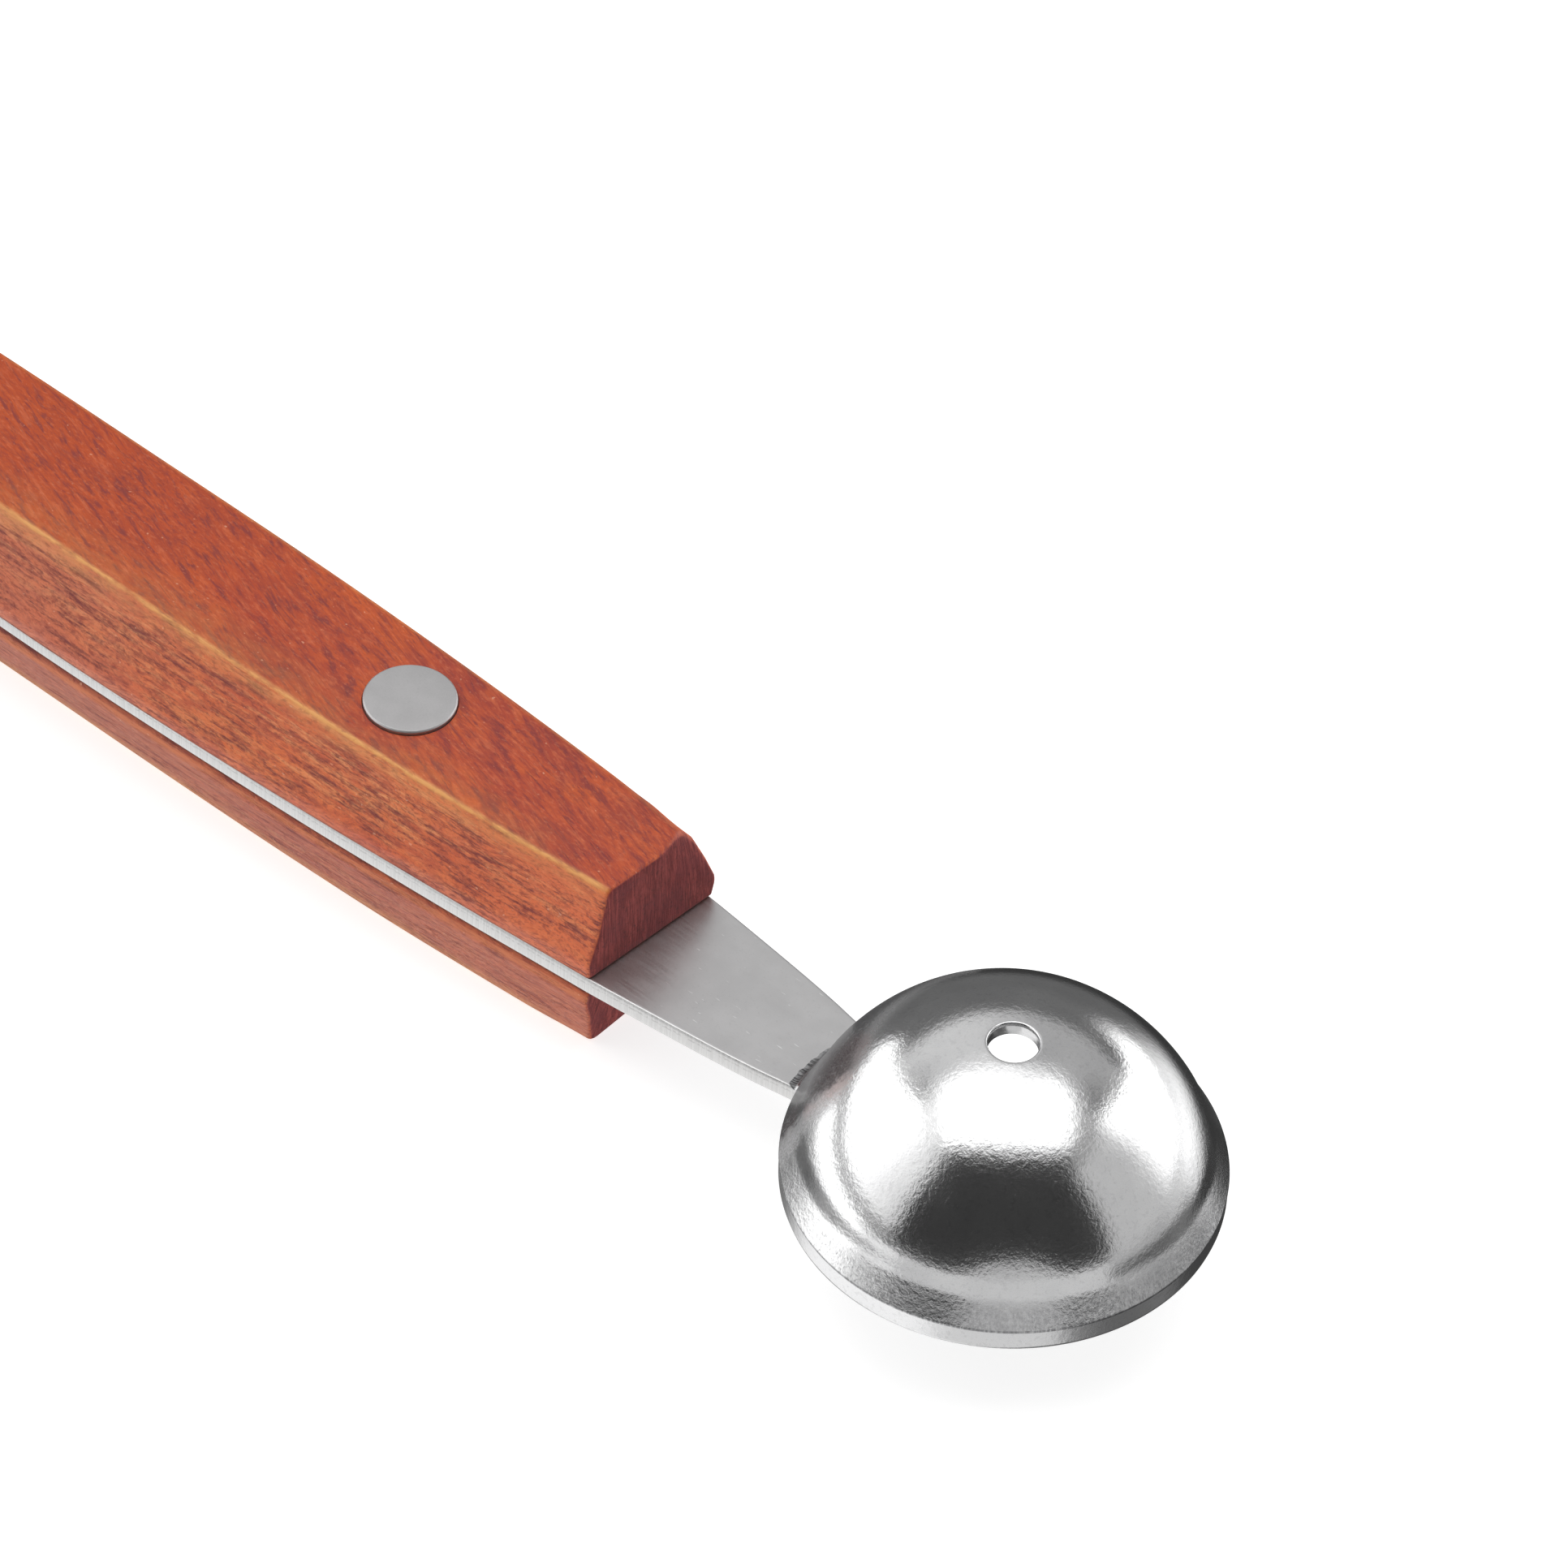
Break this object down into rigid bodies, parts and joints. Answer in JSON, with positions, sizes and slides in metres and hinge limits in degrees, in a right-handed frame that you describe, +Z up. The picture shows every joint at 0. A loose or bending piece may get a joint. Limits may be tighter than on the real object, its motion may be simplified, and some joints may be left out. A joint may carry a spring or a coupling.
{
  "type": "melon baller",
  "caption": "Double-ended melon baller: a drilled hemispherical steel bowl at each end of a flat steel tang held between riveted wooden scales.",
  "frame": {"origin": "middle of the footprint in plan, on the flat bottom face of the lower scale that the tool rests on", "axes": "+X along the handle towards the large bowl, +Z up out of the upper scale's flat face, +Y to the left when looking along +X; both bowls open towards -Z"},
  "size_m": [0.176, 0.028, 0.0204],
  "materials": {
    "wood": "reddish brown hardwood, fine grain with dark pores, satin oil finish",
    "tang_steel": "satin stainless strip with fine scratches and bright sheared edges",
    "bowl_steel": "polished stainless dome with a ground flare at the rim",
    "rivet_steel": "matt ground rivet heads"
  },
  "bodies": {
    "root": {"tang": "tang_steel", "scale_upper": "wood", "scale_lower": "wood", "bowl_large": "bowl_steel", "bowl_small": "bowl_steel", "rivet_front_female": "rivet_steel", "rivet_front_male": "rivet_steel", "rivet_rear_female": "rivet_steel", "rivet_rear_male": "rivet_steel"}
  },
  "joints": []
}
